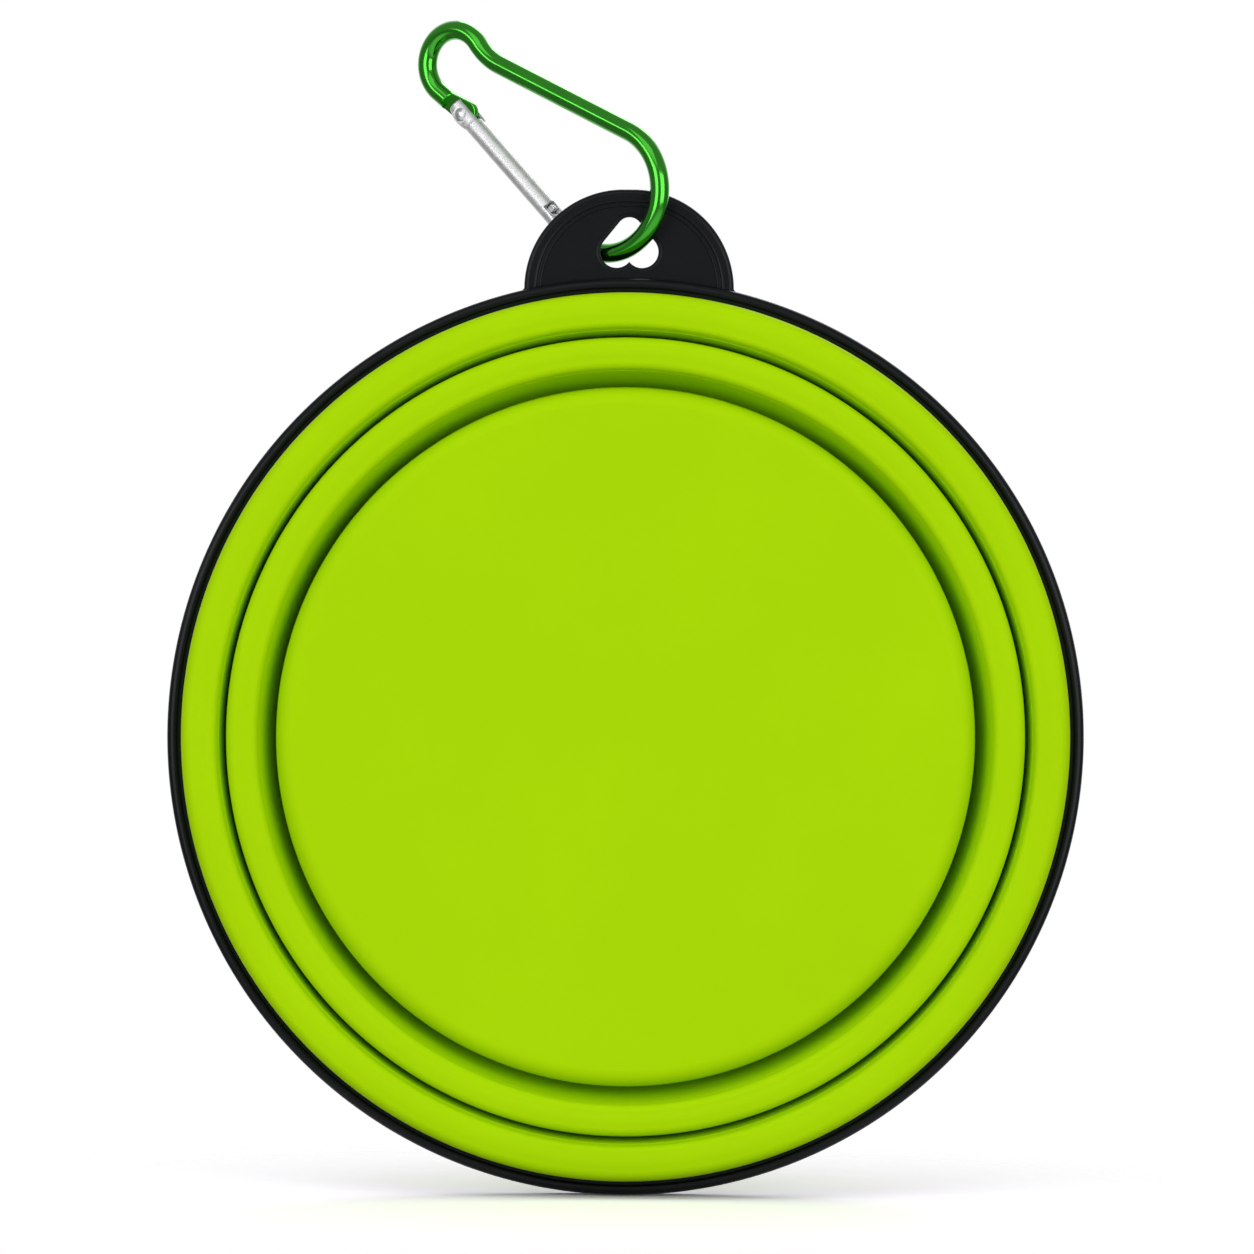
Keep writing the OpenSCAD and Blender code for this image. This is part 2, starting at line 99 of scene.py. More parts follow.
# Levels across the tab as a distance and a half thickness: outwards from the heart, then inwards from the outline
HEART_LEVELS = (
    (0.0, 0.0), (0.0, 0.3), (0.04, 0.41), (0.12, TAB_GROOVE), (0.2, TAB_GROOVE), (0.7, TAB_GROOVE), (0.76, 0.48),
    (0.8, 0.74), (0.86, TAB_FACE), (0.95, TAB_FACE))
STEP_LEVELS = (
    (3.5, TAB_FACE), (3.4, TAB_FACE), (3.33, 0.86), (3.27, 1.0), (3.15, TAB_STEP), (3.05, TAB_STEP),
    (2.65, TAB_STEP), (2.55, TAB_STEP + 0.02))
# The border's bead: its inner flank's start, width and foot, its flat top's inner end and its outer rounding
BEAD_IN, BEAD_FLANK, BEAD_FOOT = 2.5, 0.7, TAB_STEP + 0.04
BEAD_TOP, BEAD_ROUND = 1.05, 0.9
# The fillet between the rim and the tab: its radius, half thickness and bevel
FOOT_R, FOOT_HALF, FOOT_BEVEL = 1.3, 1.05, 0.3

# A plate's bevel: how far its levels are drawn in and how deep they lie, in shares of the bevel
BEVEL_IN, BEVEL_DEPTH = np.array((1.4, 1.0, 0.3, 0.0)), np.array((0.0, 0.0, 0.3, 1.0))

# The clip's plane: the wide bend's centre, its turn about the vertical and its lean
WIDE_C = np.array((-5.34197, 107.446))
CLIP_Y = 13.0
CLIP_TURN, CLIP_LEAN = math.radians(35), math.radians(34)
WIRE_R, WIDE_R, NARROW_R, NECK_R = 1.9, 12.5, 6.7, 13.5
NARROW_C = np.array((-44.6, 0.0))
NECK_C = np.array((-38.0164, 19.097))
NECK_RUN, NECK_ANGLE = 33.674, 70.9785
SPINE_SLOPE, GATE_SLOPE = 11.0, 9.0
BEND_END = 268.5
NOSE_LEN, NOSE_X = 3.6, 31.7509
TONGUE_T, EYE_R, CAM_THROW = 1.3, 2.3, 0.7
TONGUE_LEN, TONGUE_ROOT, TONGUE_BEVEL = 5.6, 1.7, 0.15
HOOK_LEN, HOOK_HALF, HOOK_BEVEL, LATCH_AHEAD, LATCH_R = 4.2, 1.5, 0.12, 2.2, 0.7

# The gate: its pivot in the clip's plane, and places along the rod from there
PIVOT = np.array((-36.8867, -6.91477))
PIVOT_OUT = 0.1
ROD_R, BORE_R, SLOT_HALF, FLAT_HALF = 1.9, 0.85, 0.75, 1.75
EAR_END, EAR_ROOT, BORE_END, LATCH_SLOT, GATE_TIP = -2.8, 3.2, 15.15, 27.0509, 31.2509
# The prongs: a reach that cuts nothing off, the reach of the one that is cut away, the radius of the ends that are
# hidden in the rod and the rounding of the tip
FREE, CUT_AWAY, HIDDEN_R, TIP_ROUND = 3.0, 0.4, ROD_R - 0.06, 0.7
# The ears: the inner radius in front and behind, and the outer side's swelling and fall as places and radii
EAR_FRONT, EAR_BACK = 1.86, 2.25
SWELL_START, SWELL_RUN, SWELL_R = EAR_END + 0.3, 1.7, (1.84, 2.3)
EAR_FALL = ((0.4, 2.34), (1.2, 2.26), (1.9, 2.12), (2.4, 2.0), (2.5, ROD_R), (EAR_ROOT - 0.15, ROD_R))

# The spring in the gate's bore and its clearance there
SPRING_LEN, SPRING_WIRE, SPRING_TURNS, SPRING_GAP = 8.8, 0.28, 11, 0.1
SPRING_R = BORE_R - SPRING_GAP - SPRING_WIRE / 2

# The floor touches the rim at this place along the axis and rises behind it, in degrees
FOOT_Y, FLOOR_TILT = 14.0, 3.5
# The floor's rings and the radii between which it fades out, in metres, its colour for the light that it sheds, and
# its colour and its own glow for the camera and reflections, which make up for the green light from the bowl
FLOOR_RINGS, FLOOR_FADE = np.array((0.0, 0.1, 0.2, 0.4, 0.8)), (0.04, 0.15)
FLOOR_SHED, FLOOR_SHOWN, FLOOR_LIFT = (0.4, 0.4, 0.4, 1.0), (1.42, 1.36, 1.48, 1.0), 0.05

# The world by direction: the heights between which its light grows and its share below them, and the limits between
# which reflections come to see white behind the bowl, below it and ahead of it
LIGHT_Z, LOW_SHARE = (-0.1, 0.5), 0.6
BEHIND_Y, BELOW_Z, AHEAD_Y = (0.4, 0.8), (-0.3, -0.5), (-0.1, -0.4)

# The softboxes, each with its place, then its width and height, and the points that the lights and the camera face
LIGHTS = {
    "key": ((-0.45, -1.55, 1.55), (1.8, 1.2)),
    "side": ((-1.15, -1.75, 0.2), (1.2, 1.2)),
    "fill": ((1.3, -1.75, 0.2), (1.8, 1.5)),
    "left": ((-1.45, -0.95, 0.56), (0.8, 0.3)),
    "back": ((0.4, 1.7, 1.4), (1.0, 1.0)),
}
LIGHT_AIM, CAMERA_AIM = (0.0, 0.0, 0.02), (0.00012, 0.014, 0.02155)


class BowlSizes(bpy.types.PropertyGroup):
    """Sizes of the fine forms that the surfaces add to the solids."""

    segments: bpy.props.IntProperty(
        name="Segments", description="Faces round each turned piece", default=288, min=96, max=512)
    rim_bead: bpy.props.FloatProperty(
        name="Rim bead", description="Rounding of the rim's outer edge on the base's side, in mm",
        default=1.25, min=0.4, max=1.3)
    tab_bead: bpy.props.FloatProperty(
        name="Tab bead", description="Half thickness of the tab's raised border, in mm",
        default=1.4, min=1.0, max=1.5)
    web_head: bpy.props.FloatProperty(
        name="Web head", description="Rounding of the folded webs' heads, in mm",
        default=1.08, min=0.4, max=1.15)


class BowlFinish(bpy.types.PropertyGroup):
    """Colours of the finishes."""

    silicone: bpy.props.FloatVectorProperty(
        name="Silicone", description="Colour of the silicone body", subtype="COLOR", size=4,
        default=(0.385, 0.668, 0.0006, 1.0), min=0.0, max=1.0)
    rim: bpy.props.FloatVectorProperty(
        name="Rim", description="Colour of the rim and the tab", subtype="COLOR", size=4,
        default=(0.0030, 0.0042, 0.0054, 1.0), min=0.0, max=1.0)
    clip: bpy.props.FloatVectorProperty(
        name="Clip", description="Colour of the clip's anodised wire", subtype="COLOR", size=4,
        default=(0.044, 0.365, 0.022, 1.0), min=0.0, max=1.0)
    gate: bpy.props.FloatVectorProperty(
        name="Gate", description="Colour of the bright gate", subtype="COLOR", size=4,
        default=(0.74, 0.74, 0.75, 1.0), min=0.0, max=1.0)
    steel: bpy.props.FloatVectorProperty(
        name="Steel", description="Colour of the nose's hook, the rivet, the pin, the plunger and the spring",
        subtype="COLOR", size=4, default=(0.62, 0.63, 0.64, 1.0), min=0.0, max=1.0)


class BowlStage(bpy.types.PropertyGroup):
    """Camera and light of the stage."""

    lens: bpy.props.FloatProperty(
        name="Lens", description="Focal length of the camera, in mm", default=730.6, min=50.0, max=2000.0)
    distance: bpy.props.FloatProperty(
        name="Distance", description="Distance of the camera from the bowl", default=5.0, subtype="DISTANCE",
        unit="LENGTH")
    roll: bpy.props.FloatProperty(
        name="Roll", description="Roll of the camera", default=math.radians(0.45), subtype="ANGLE",
        unit="ROTATION")
    ambient: bpy.props.FloatProperty(
        name="Ambient", description="Level of the light from above", default=0.46, min=0.0, max=1.0)
    key: bpy.props.FloatProperty(
        name="Key light", description="Power of the light above the camera", default=7.0, min=0.0, unit="POWER")
    side: bpy.props.FloatProperty(
        name="Side light", description="Power of the broad light on the left", default=13.0, min=0.0, unit="POWER")
    fill: bpy.props.FloatProperty(
        name="Fill light", description="Power of the broad light on the right", default=22.5, min=0.0, unit="POWER")
    left: bpy.props.FloatProperty(
        name="Left light", description="Power of the narrow light on the left", default=2.6, min=0.0, unit="POWER")
    back: bpy.props.FloatProperty(
        name="Back light", description="Power of the light behind", default=10.0, min=0.0, unit="POWER")


def around(count):
    """Angles of a full turn, evenly spaced."""
    return np.linspace(0, TURN, count, endpoint=False)


def unit(a):
    """Points (cos a, sin a) on the unit circle."""
    return np.stack((np.cos(a), np.sin(a)), -1)


def along_line(at, lengths, line):
    """Points of a line in a plane at given lengths along it, straight between its own points."""
    return np.stack([np.interp(at, lengths, line[:, k]) for k in (0, 1)], -1)


def rounded_path(corners, reach=1.0, guard=0.1, steps=7, closed=True):
    """Points of a path whose corners (x, y, radius) are turned by arcs.

    Between unit vectors u and v towards its neighbours, at the angle phi, a corner P has its arc's centre at
    P + (u + v) / |u + v| * radius / sin(phi / 2). Straight runs get points at most about `reach` apart and one
    at `guard` from each end, so that a flat face stays flat in its shading.
    """
    points = np.array([c[:2] for c in corners], float)
    count = len(points)
    arcs = []
    for i, corner in enumerate(corners):
        p = points[i]
        radius = corner[2] if len(corner) > 2 else 0.0
        if radius == 0:
            arcs.append(p[None])
            continue
        u = points[i - 1] - p
        v = points[(i + 1) % count] - p
        u /= np.linalg.norm(u)
        v /= np.linalg.norm(v)
        half = 0.5 * math.acos(np.clip(u @ v, -1, 1))
        centre = p + (u + v) / np.linalg.norm(u + v) * radius / math.sin(half)
        a = p + u * radius / math.tan(half) - centre
        b = p + v * radius / math.tan(half) - centre
        sweep = math.pi - 2 * half
        s = np.linspace(0, sweep, steps + 1)[:, None]
        arcs.append(centre + (np.sin(sweep - s) * a + np.sin(s) * b) / math.sin(sweep))
    path = []
    for i, bend in enumerate(arcs):
        path.append(bend)
        if i == count - 1 and not closed:
            break
        start, end = bend[-1], arcs[(i + 1) % count][0]
        length = np.linalg.norm(end - start)
        if length > 3 * guard:
            inner = np.linspace(0, 1, max(int(length / reach), 1) + 1)[1:-1]
            s = np.concatenate(([guard / length], inner, [1 - guard / length]))
            path.append(start + (end - start) * s[:, None])
    return np.vstack(path)


def crown(outer, inner, rise):
    """Points (radius, place) of a crowned tread, from its outer to its inner side.

    They lie on a parabola that is highest in the middle.
    """
    s = np.linspace(-1, 1, 9)
    return np.column_stack(((outer + inner) / 2 - s * (outer - inner) / 2, rise * s * s))


def tier_corners(outer, inner, tread, root, top):
    """Corners (radius, place, rounding) of a tier: its crowned tread, the web's root and its wall."""
    (outer_y, outer_round, outer_in), (inner_y, inner_round, inner_in), rise = tread
    return [(outer, outer_y, outer_round), *crown(outer - outer_in, inner + inner_in, rise),
            (inner, inner_y, inner_round), (root, WALL), (outer - WALL, WALL, INNER_FILLET), (outer - WALL, top),
            (outer, top)]


def web_line(y, tread_r, next_r, top, curve):
    """Radius of a folded web's groove side at places y: a power of the rest of the way to the next wall's top.

    It starts at the tread's inner edge and ends beside the next tier's wall.
    """
    head = next_r + WEB_GAP
    return head + (tread_r - head) * (1 - y / top) ** curve


def revolved(profile, segments):
    """Grid of a profile (radius r, place y) turned round the bowl's axis: (r cos a, y, r sin a)."""
    a = around(segments)
    r, y = profile.T
    return np.stack((np.outer(np.cos(a), r), np.broadcast_to(y, (segments, len(y))), np.outer(np.sin(a), r)), -1)


def shell(grid, close_rows=True, close_cols=True, caps=False, place=None):
    """Vertices and faces of a grid of points: one quad between each four neighbours.

    With `caps`, the first and the last row are each filled by one face. `place` carries points to the bowl's frame.
    """
    rows, cols = grid.shape[:2]
    i, j = np.meshgrid(np.arange(rows if close_rows else rows - 1),
                       np.arange(cols if close_cols else cols - 1), indexing="ij")
    i2, j2 = (i + 1) % rows, (j + 1) % cols
    faces = np.stack((i * cols + j, i2 * cols + j, i2 * cols + j2, i * cols + j2), -1).reshape(-1, 4).tolist()
    if caps:
        first = np.arange(cols)
        faces.append(first.tolist())
        faces.append((first[::-1] + (rows - 1) * cols).tolist())
    points = grid.reshape(-1, 3)
    return place(points) if place else points, faces


def make_piece(name, shells, material):
    """One object from shells in millimetres; doubled points at poles are merged and faces turned outwards."""
    mesh = bpy.data.meshes.new(name)
    points, faces, offset = [], [], 0
    for verts, quads in shells:
        points.append(verts)
        faces += [[k + offset for k in face] for face in quads]
        offset += len(verts)
    mesh.from_pydata((np.vstack(points) * MM).tolist(), [], faces)
    bm = bmesh.new()
    bm.from_mesh(mesh)
    bmesh.ops.remove_doubles(bm, verts=bm.verts, dist=MERGE)
    bmesh.ops.dissolve_degenerate(bm, edges=bm.edges, dist=MERGE)
    bmesh.ops.recalc_face_normals(bm, faces=bm.faces)
    bm.to_mesh(mesh)
    bm.free()
    mesh.shade_smooth()
    mesh.set_sharp_from_angle(angle=math.radians(SMOOTH_ANGLE))
    mesh.materials.append(material)
    piece = bpy.data.objects.new(name, mesh)
    bpy.context.scene.collection.objects.link(piece)
    return piece


def capsule_distance(p, a, a_r, b, b_r):
    """Signed distance of points p from the hull of two circles, the circle a_r round a and b_r round b.

    In the frame of the line from a to b, scaled by its length, a point beside the straight flank is measured
    square to the flank, and a point beyond either end from that end's centre.
    """
    pa, ba = p - a, b - a
    h = ba @ ba
    qx = np.abs(pa @ np.array((ba[1], -ba[0]))) / h
    qy = pa @ ba / h
    k_r = a_r - b_r
    c = math.sqrt(h - k_r * k_r)
    k = c * qy - k_r * qx
    n = qx * qx + qy * qy
    flank = c * qx + k_r * qy - a_r
    low = np.sqrt(h * n) - a_r
    high = np.sqrt(np.maximum(h * (n + 1 - 2 * qy), 0)) - b_r
    return np.where(k < 0, low, np.where(k > c, high, flank))


def heart_reach(rays, grow, steps=160):
    """How far each ray from the heart's middle runs to the heart's edge, grown by a margin.

    The heart is two hulls of a lobe and the tip. Each ray steps on by its distance to a hull's edge until it is
    there, and the farther of the two hulls counts.
    """
    best = np.zeros(len(rays))
    for side in (-1, 1):
        lobe = LOBE * (side, 1)
        t = np.zeros(len(rays))
        for _ in range(steps):
            t += grow - capsule_distance(HEART_C + t[:, None] * rays, lobe, LOBE_R, TIP, TIP_R)
        best = np.maximum(best, t)
    return best


def tab_reach(rays, depth):
    """How far each ray from the heart's middle runs to the tab's outline, drawn in by a depth.

    The outline is the hull of two equal circles beside each other. A ray leaves the hull where it leaves the
    farther circle, or at the flat top between them.
    """
    radius = TAB_R - depth
    top = (TAB_C[1] + radius - HEART_C[1]) / np.maximum(rays[:, 1], 1e-6)
    reach = np.where(np.abs(top * rays[:, 0]) <= TAB_C[0], top, 0.0)
    for side in (-1, 1):
        off = HEART_C - TAB_C * (side, 1)
        along = rays @ off
        reach = np.maximum(reach, -along + np.sqrt(along ** 2 - off @ off + radius ** 2))
    return reach


def tab_shell(bead, count=480):
    """The tab as a closed ring round its hole: a grid of rays from the heart's middle and of levels across the tab.

    A level is the distance from the heart's edge or from the tab's outline, with the half thickness there. A ray
    that meets the rim first ends inside the rim's wall.
    """
    rays = unit(around(count) + math.radians(90))
    to_rim = rays @ HEART_C
    square = to_rim * to_rim - (HEART_C @ HEART_C - TAB_CUT_R ** 2)
    cut = np.where((square > 0) & (to_rim < 0), -to_rim - np.sqrt(np.maximum(square, 0)), np.inf)

    def edge(depth):
        return np.minimum(tab_reach(rays, depth), cut)

    levels = [(heart_reach(rays, grow), h) for grow, h in HEART_LEVELS]
    inner, outer = levels[-1][0], edge(STEP_LEVELS[0][0])
    levels += [(np.minimum(inner + (outer - inner) * s, cut), TAB_FACE) for s in (0.25, 0.5, 0.75)]
    s = np.linspace(0, 1, 7)[1:] * math.pi / 2
    flank = zip(BEAD_IN - BEAD_FLANK * (1 - np.cos(s)), BEAD_FOOT + (bead - BEAD_FOOT) * np.sin(s))
    flat = (BEAD_TOP, bead), (BEAD_ROUND, bead)
    rounding = zip(BEAD_ROUND * (1 - np.sin(s)), bead - BEAD_ROUND * (1 - np.cos(s)))
    levels += [(edge(d), h) for d, h in (*STEP_LEVELS, *flank, *flat, *rounding, (0.0, TAB_EDGE))]
    reach = np.stack([l[0] for l in levels], 1)
    half = np.stack([np.broadcast_to(l[1], reach[:, 0].shape) for l in levels], 1)
    reach = np.concatenate((reach, reach[:, :0:-1]), 1)
    half = np.concatenate((half, -half[:, :0:-1]), 1)
    grid = np.stack((HEART_C[0] + reach * rays[:, :1], TAB_Y + half, HEART_C[1] + reach * rays[:, 1:]), -1)
    return shell(grid)


def tab_foot(foot, bite=0.1, step=0.12, under_rim=(0.97, 1.0), under_tab=0.8):
    """Outline of the fillet between the rim and the tab, on the right.

    Its arc's centre lies where a circle round the bowl's middle and one round the tab's right centre meet, each
    larger by the fillet's radius and smaller by a bite. Two points inside the rim and the tab close the outline.
    """
    far_rim, far_tab = RIM_R - bite + foot, TAB_R - bite + foot
    span = np.linalg.norm(TAB_C)
    ahead = TAB_C / span
    along = (span ** 2 + far_rim ** 2 - far_tab ** 2) / (2 * span)
    centre = along * ahead + math.sqrt(far_rim ** 2 - along ** 2) * np.array((ahead[1], -ahead[0]))
    to_tab = math.degrees(math.atan2(*(TAB_C - centre)[::-1]))
    to_rim = math.degrees(math.atan2(*(-centre)[::-1]))
    curve = arc(centre, foot, to_tab % 360, to_rim % 360, step)
    inside = np.array((centre * TAB_CUT_R / far_rim * under_rim, TAB_C + (centre - TAB_C) * under_tab))
    return np.vstack((curve, inside))


def plate_shell(outline, half, bevel, place):
    """A plate with bevelled edges: its outline at several levels, the outer ones drawn in along its normals.

    `place` carries points (x, y, height) of the plate to the bowl's frame.
    """
    ahead = np.roll(outline, -1, 0) - outline
    ahead /= np.linalg.norm(ahead, axis=1)[:, None]
    along = ahead + np.roll(ahead, 1, 0)
    along /= np.linalg.norm(along, axis=1)[:, None]
    normal = np.stack((along[:, 1], -along[:, 0]), -1)
    x, y = outline.T
    if np.sum(x * np.roll(y, -1) - y * np.roll(x, -1)) < 0:
        normal = -normal
    depth = bevel * BEVEL_DEPTH
    drawn_in = bevel * np.append(BEVEL_IN, BEVEL_IN[::-1])
    level = np.append(half - depth, depth[::-1] - half)
    flat = outline - drawn_in[:, None, None] * normal
    grid = np.concatenate((flat, np.broadcast_to(level[:, None, None], (len(level), len(outline), 1))), -1)
    return shell(grid, close_rows=False, caps=True, place=place)


def in_tab(points):
    """Carries (x, z, height) in the tab's plane to the bowl's frame."""
    return np.stack((points[:, 0], TAB_Y + points[:, 2], points[:, 1]), -1)


def in_clip(points):
    """Carries (u, v, w) in the clip's plane to the bowl's frame: leaned there, then turned about the vertical."""
    u, v, w = points.T
    s = u * math.cos(CLIP_LEAN) + v * math.sin(CLIP_LEAN) + WIDE_C[0]
    z = -u * math.sin(CLIP_LEAN) + v * math.cos(CLIP_LEAN) + WIDE_C[1]
    x = s * math.cos(CLIP_TURN) - w * math.sin(CLIP_TURN)
    y = CLIP_Y - s * math.sin(CLIP_TURN) - w * math.cos(CLIP_TURN)
    return np.stack((x, y, z), -1)


def on_gate(points):
    """Carries (x, y, w) along the gate, from its pivot, to the bowl's frame."""
    g = math.radians(GATE_SLOPE)
    u = PIVOT[0] + points[:, 0] * math.cos(g) + points[:, 1] * math.sin(g)
    v = PIVOT[1] - points[:, 0] * math.sin(g) + points[:, 1] * math.cos(g)
    return in_clip(np.stack((u, v, points[:, 2]), -1))


def arc(centre, radius, start, end, step):
    """Points on a circle between two angles in degrees, about `step` millimetres apart."""
    count = max(int(abs(math.radians(end - start)) * radius / step), 4)
    a = np.radians(np.linspace(start, end, count + 1))
    return centre + radius * unit(a)


def to_pivot():
    """Direction in which the wire leaves the narrow bend, straight towards the gate's pivot."""
    end = math.radians(BEND_END)
    return np.array((-math.sin(end), math.cos(end)))


def wire_path(step, nose_rows=24, back_rows=60, tail_rows=14, tail_len=6.0):
    """Middle line of the wire in the clip's plane.

    It runs along the nose, the wide bend, the straight back, the neck and the narrow bend, then on past the place
    where the wire is cut off.
    """
    spine, gate = math.radians(SPINE_SLOPE), math.radians(GATE_SLOPE)
    nose_root = -WIDE_R * np.array((math.sin(gate), math.cos(gate)))
    nose = nose_root + np.linspace(NOSE_LEN, 0, nose_rows)[:, None] * (-math.cos(gate), math.sin(gate))
    wide = arc(np.zeros(2), WIDE_R, -90 - GATE_SLOPE, 90 + SPINE_SLOPE, step)
    back = wide[-1] + np.linspace(0, NECK_RUN, back_rows)[:, None] * (-math.cos(spine), -math.sin(spine))
    neck = arc(NECK_C, NECK_R, SPINE_SLOPE - 90, NECK_ANGLE - 180, step)
    narrow = arc(NARROW_C, NARROW_R, NECK_ANGLE, BEND_END, step)
    tail = narrow[-1] + np.linspace(0, tail_len, tail_rows)[:, None] * to_pivot()
    return np.vstack((nose, wide[1:], back[1:], neck[1:], narrow[1:], tail[1:]))


def wire_shell(step=0.45, sides=40, end_round=0.55, cut_r=5.0, cut_bevel=0.14, cut_zone=7.0, cut_run=3.0,
               fine_rows=12000):
    """The clip's wire: a circle carried along its middle line, square to it at each point.

    At the nose the circle's radius falls off as a quarter circle. The other end is milled hollow round the gate's
    pivot: each line along the wire ends where it is `cut_r` away from it.
    """
    path = wire_path(step)
    lengths = np.concatenate(([0], np.cumsum(np.linalg.norm(np.diff(path, axis=0), axis=1))))
    fine = np.linspace(0, lengths[-1], fine_rows)
    fine_path = along_line(fine, lengths, path)
    along = np.gradient(fine_path, fine, axis=0)
    along /= np.linalg.norm(along, axis=1)[:, None]
    out = np.stack((-along[:, 1], along[:, 0]), -1)

    a = around(sides)
    tail = fine > lengths[-1] - cut_zone
    offset = out[tail][:, None] * (WIRE_R * np.cos(a))[None, :, None]
    away = np.linalg.norm(fine_path[tail][:, None] + offset - PIVOT, axis=2) > cut_r
    last = fine[tail][np.argmin(away, axis=0)]
    shared = last.min() - cut_run
    near = end_round * (1 - np.cos(np.linspace(0, math.pi / 2, 8)))
    even = np.concatenate((near, lengths[(lengths > end_round) & (lengths < shared)]))
    run = np.linspace(0, 1, 9)[:-1]
    stations = np.concatenate((np.broadcast_to(even[:, None], (len(even), sides)),
                               shared + run[:, None] * (last - cut_bevel - shared),
                               (last - cut_bevel)[None], last[None]))
    to_end = np.minimum(stations, end_round)
    radius = WIRE_R - end_round + np.sqrt(end_round ** 2 - (end_round - to_end) ** 2)
    radius[-1] -= cut_bevel
    side = along_line(stations, fine, out)
    flat = along_line(stations, fine, fine_path) + (radius * np.cos(a))[..., None] * side
    verts, faces = shell(np.concatenate((flat, (radius * np.sin(a))[..., None]), -1), close_rows=False)
    k = np.arange(sides // 2)
    first = (len(stations) - 1) * sides
    faces += (first + np.stack((k, k + 1, (-k - 1) % sides, -k % sides), -1)).tolist()
    faces.append(list(range(sides)))
    return in_clip(verts), faces


def hull_outline(a, a_r, b, b_r, count=40):
    """Outline of the hull of two circles: the far arc of each, joined by the flanks that touch both."""
    base = math.atan2(b[1] - a[1], b[0] - a[0])
    open_angle = math.acos((a_r - b_r) / np.linalg.norm(b - a))
    first = np.linspace(base + open_angle, base + TURN - open_angle, count)
    second = np.linspace(base - open_angle, base + open_angle, count)
    return np.vstack((a + a_r * unit(first), b + b_r * unit(second)))


def rod_shell(sides=64, bevel=0.12, hair=0.01, lead=0.3, bore_ring=9.0, rings=(10.0, 18.0)):
    """The gate's rod: radii along its axis turned round it, from the bottom of the spring's bore to the far end.

    In the gate's frame a point is (x, offset + r cos a, r sin a).
    """
    line = np.array([
        (BORE_END, 0.0), (BORE_END, BORE_R), (bore_ring, BORE_R), (EAR_ROOT, BORE_R), (EAR_ROOT, ROD_R - bevel),
        (EAR_ROOT + hair, ROD_R), (EAR_ROOT + lead, ROD_R), *((x, ROD_R) for x in rings),
        (LATCH_SLOT - lead, ROD_R), (LATCH_SLOT - hair, ROD_R), (LATCH_SLOT, ROD_R - bevel), (LATCH_SLOT, 0.0)])
    a = around(sides)
    x, r = line.T
    across, up = np.outer(np.cos(a), r), np.outer(np.sin(a), r)
    grid = np.stack((np.broadcast_to(x, across.shape), PIVOT_OUT + across, up), -1)
    return shell(grid, close_cols=False, place=on_gate)


def spring_shell(per_turn=28, sides=8):
    """The gate's spring: a circle carried along a helix round the rod's axis, with centres (x, R cos a, R sin a)."""
    a = np.linspace(0, TURN * SPRING_TURNS, per_turn * SPRING_TURNS + 1)[:, None]
    b = around(sides)
    x = BORE_END - SPRING_LEN + SPRING_WIRE / 2 + (SPRING_LEN - SPRING_WIRE) * a / a[-1]
    r = SPRING_R + SPRING_WIRE / 2 * np.cos(b)
    grid = np.stack((x + SPRING_WIRE / 2 * np.sin(b), PIVOT_OUT + r * np.cos(a), r * np.sin(a)), -1)
    return shell(grid, close_rows=False, caps=True, place=on_gate)


def prong_shell(stations, front, steps=9):
    """One prong of the gate's fork: a D-shaped section whose measures follow places along the gate.

    Each station gives the place x, the radius on the outer and on the inner side, the greatest height and the
    greatest reach to the inner side. The section runs up the inner arc, across the flat, down the outer arc and back
    along the slot: the arcs are r cos b and r sin b, from the slot's height to the flat's.
    """
    x, outer_r, inner_r, flat, reach = np.array(stations, float).T[:, :, None]
    s = np.linspace(0, 1, steps)

    def climb(radius):
        low, high = np.arcsin(SLOT_HALF / radius), np.arcsin(np.minimum(flat / radius, 1))
        return low + (high - low) * s

    up, down = climb(inner_r), climb(outer_r)[:, ::-1]
    y = np.concatenate((inner_r * np.cos(up), -outer_r * np.cos(down)), 1)
    w = np.concatenate((inner_r * np.sin(up), outer_r * np.sin(down)), 1)
    y = np.minimum(y, reach)
    grid = np.stack((np.broadcast_to(x, y.shape), PIVOT_OUT + y, w if front else -w), -1)
    return shell(grid, close_rows=False, caps=True, place=on_gate)


def eased(start, end, count=8):
    """Shares from 0 to 1 and their smooth rise from a start value to an end value."""
    s = np.linspace(0, 1, count)
    return s, start + (end - start) * s * s * (3 - 2 * s)


def full(x, radius, reach=FREE):
    """A station whose section keeps one radius all round."""
    return x, radius, radius, radius, reach


def ear_stations(front):
    """Stations of an ear beside the clip's tongue.

    It swells on its outer side beside the rivet, falls back to the rod below it and ends inside the rod.
    """
    inner = EAR_FRONT if front else EAR_BACK
    s, swell = eased(*SWELL_R)
    ear = [(EAR_END, 1.7, inner - 0.24, FLAT_HALF - 0.12, FREE), (EAR_END + 0.12, 1.8, inner - 0.1, FLAT_HALF, FREE)]
    ear += [(x, r, inner, FLAT_HALF, FREE) for x, r in (*zip(SWELL_START + SWELL_RUN * s, swell), *EAR_FALL)]
    if front:
        ear += [full(EAR_ROOT, ROD_R), full(EAR_ROOT + 0.03, HIDDEN_R)]
    else:
        ear += [(EAR_ROOT + x, HIDDEN_R, r, FLAT_HALF, FREE)
                for x, r in ((0.0, inner), (0.5, inner - 0.05), (0.75, HIDDEN_R))]
    return ear + [full(EAR_ROOT + 1.0, HIDDEN_R)]


